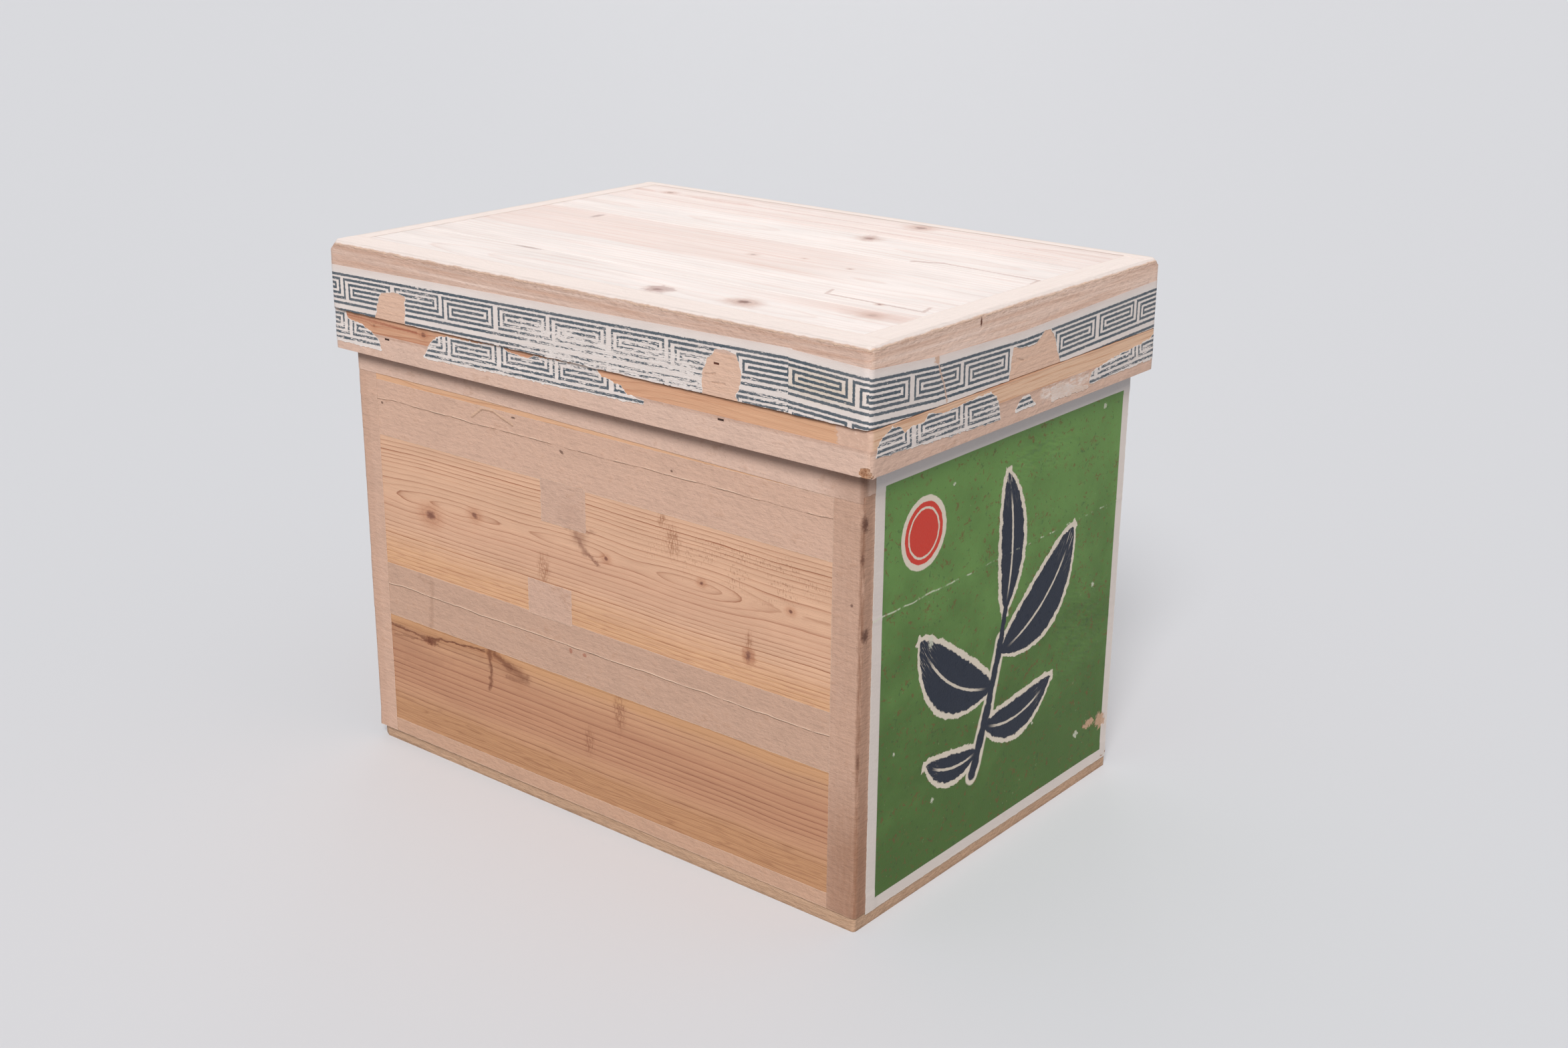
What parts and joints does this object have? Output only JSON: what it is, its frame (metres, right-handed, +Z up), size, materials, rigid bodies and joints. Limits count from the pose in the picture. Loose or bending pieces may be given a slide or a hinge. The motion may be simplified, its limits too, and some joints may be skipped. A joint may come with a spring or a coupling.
{
  "type": "wooden tea crate",
  "caption": "Lidded nailed cedar crate with kraft-papered edges, a fret-patterned paper seal round the lid and a printed label on one end.",
  "frame": {"origin": "centre of the crate's footprint, on the floor under the bottom boards", "axes": "+Z up, +X along the crate's length to the labelled end, -Y out of the front"},
  "size_m": [0.6036, 0.4242, 0.4855],
  "materials": {
    "cedar": "bare, aged",
    "kraft_paper": "matte, worn",
    "fret_paper": "matte, printed, worn",
    "label_paper": "printed, lightly glazed",
    "tinplate": "tinned, dulled",
    "nail_steel": "rusted"
  },
  "bodies": {
    "crate": {"bottom_board_front": "cedar", "bottom_board_back": "cedar", "front_wall_lower_board": "cedar", "front_wall_middle_board": "cedar", "front_wall_upper_board": "cedar", "back_wall_lower_board": "cedar", "back_wall_middle_board": "cedar", "back_wall_upper_board": "cedar", "left_end_lower_board": "cedar", "left_end_upper_board": "cedar", "right_end_lower_board": "cedar", "right_end_upper_board": "cedar", "collar_front": "cedar", "collar_back": "cedar", "collar_left": "cedar", "collar_right": "cedar", "tin_liner": "tinplate", "crate_nails": "nail_steel", "corner_tape_front_left": "kraft_paper", "corner_tape_front_right": "kraft_paper", "corner_tape_back_left": "kraft_paper", "corner_tape_back_right": "kraft_paper", "base_tape_front": "kraft_paper", "base_tape_back": "kraft_paper", "base_tape_left": "kraft_paper", "base_tape_right": "kraft_paper", "joint_tape_front_upper": "kraft_paper", "joint_tape_front_middle": "kraft_paper", "joint_tape_back_upper": "kraft_paper", "joint_tape_back_middle": "kraft_paper", "joint_tape_left": "kraft_paper", "paper_patch_upper": "kraft_paper", "paper_patch_middle": "kraft_paper", "collar_tape_front": "kraft_paper", "collar_tape_back": "kraft_paper", "collar_tape_left": "kraft_paper", "collar_tape_right": "kraft_paper", "end_label": "label_paper", "collar_seal_front": "fret_paper", "collar_seal_back": "fret_paper", "collar_seal_left": "fret_paper", "collar_seal_right": "fret_paper"},
    "lid": {"lid_board_front": "cedar", "lid_board_middle": "cedar", "lid_board_rear_middle": "cedar", "lid_board_back": "cedar", "lid_skirt_front": "cedar", "lid_skirt_back": "cedar", "lid_skirt_left": "cedar", "lid_skirt_right": "cedar", "lid_lining": "tinplate", "lid_nails": "nail_steel", "lid_tape_front": "kraft_paper", "lid_tape_back": "kraft_paper", "lid_tape_left": "kraft_paper", "lid_tape_right": "kraft_paper", "lid_seal_front": "fret_paper", "lid_seal_back": "fret_paper", "lid_seal_left": "fret_paper", "lid_seal_right": "fret_paper"}
  },
  "joints": [
    {"name": "lid_lift", "type": "slide", "parent": "crate", "child": "lid", "axis": [0, 0, 1], "range_m": [0, 0.28]}
  ]
}
